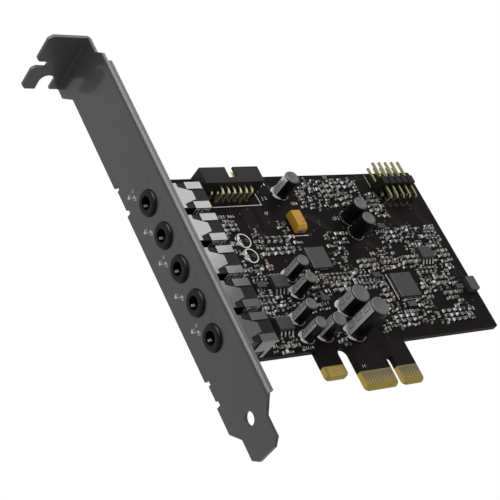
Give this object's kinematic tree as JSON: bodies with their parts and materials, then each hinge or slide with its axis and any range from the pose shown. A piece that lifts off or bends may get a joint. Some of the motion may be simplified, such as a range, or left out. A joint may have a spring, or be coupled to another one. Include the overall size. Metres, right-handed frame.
{
  "type": "pci sound card",
  "caption": "Low-profile computer sound card on a tall slot bracket, with round audio sockets, cable headers, capacitors and a keyed edge connector.",
  "frame": {"origin": "on the bracket's flat outer face, level with the edge connector's tips and the board's component face", "axes": "+X runs along the board away from the bracket, +Y runs up the card from the edge connector, +Z runs out of the component side"},
  "size_m": [0.1151, 0.1209, 0.0221],
  "materials": {
    "solder_mask": "satin dark solder mask over glass laminate",
    "gold": "worn thin gold plate",
    "bracket_metal": "semi-matte dark grey coat on folded steel",
    "screw_metal": "bright plated steel",
    "jack_plastic": "moulded black, slightly satin",
    "spring_metal": "plain plated sheet",
    "header_plastic": "moulded black, fine grain",
    "pin_metal": "pale gold plate",
    "sleeve_film": "shrunk film, soft gloss",
    "can_metal": "plain drawn metal",
    "bung_rubber": "matte",
    "tinned_wire": "tinned",
    "tantalum_resin": "moulded yellow resin",
    "chip_resin": "moulded dark resin, fine grain",
    "resistor_ceramic": "black glaze",
    "capacitor_ceramic": "bare tan ceramic",
    "crystal_metal": "plated can"
  },
  "bodies": {
    "root": {"circuit_board": "solder_mask", "edge_contacts": "gold", "bracket": "bracket_metal", "board_screws": "screw_metal", "jack_1_housing": "jack_plastic", "jack_1_top_plate": "spring_metal", "jack_1_side_clips": "spring_metal", "jack_1_contact_spring": "spring_metal", "jack_2_housing": "jack_plastic", "jack_2_top_plate": "spring_metal", "jack_2_side_clips": "spring_metal", "jack_2_contact_spring": "spring_metal", "jack_3_housing": "jack_plastic", "jack_3_top_plate": "spring_metal", "jack_3_side_clips": "spring_metal", "jack_3_contact_spring": "spring_metal", "jack_4_housing": "jack_plastic", "jack_4_top_plate": "spring_metal", "jack_4_side_clips": "spring_metal", "jack_4_contact_spring": "spring_metal", "jack_5_housing": "jack_plastic", "jack_5_top_plate": "spring_metal", "jack_5_side_clips": "spring_metal", "jack_5_contact_spring": "spring_metal", "shroud_housing": "header_plastic", "shroud_pins": "pin_metal", "header_base": "header_plastic", "header_pins": "pin_metal", "small_capacitor_sleeves": "sleeve_film", "small_capacitor_cans": "can_metal", "small_capacitor_bungs": "bung_rubber", "small_capacitor_leads": "tinned_wire", "middle_capacitor_sleeves": "sleeve_film", "middle_capacitor_cans": "can_metal", "middle_capacitor_bungs": "bung_rubber", "middle_capacitor_leads": "tinned_wire", "wide_capacitor_sleeves": "sleeve_film", "wide_capacitor_cans": "can_metal", "wide_capacitor_bungs": "bung_rubber", "wide_capacitor_leads": "tinned_wire", "tantalum_body": "tantalum_resin", "tantalum_terminals": "tinned_wire", "converter_chip": "chip_resin", "converter_chip_lands": "tinned_wire", "main_chip": "chip_resin", "main_chip_lands": "tinned_wire", "crystal": "crystal_metal", "amplifier_chip_bodies": "chip_resin", "amplifier_chip_leads": "tinned_wire", "memory_chip_bodies": "chip_resin", "memory_chip_leads": "tinned_wire", "edge_can": "crystal_metal", "chip_resistor_bodies": "resistor_ceramic", "chip_resistor_ends": "tinned_wire", "chip_capacitor_bodies": "capacitor_ceramic", "chip_capacitor_ends": "tinned_wire", "regulator_bodies": "chip_resin", "regulator_leads": "tinned_wire"}
  },
  "joints": []
}
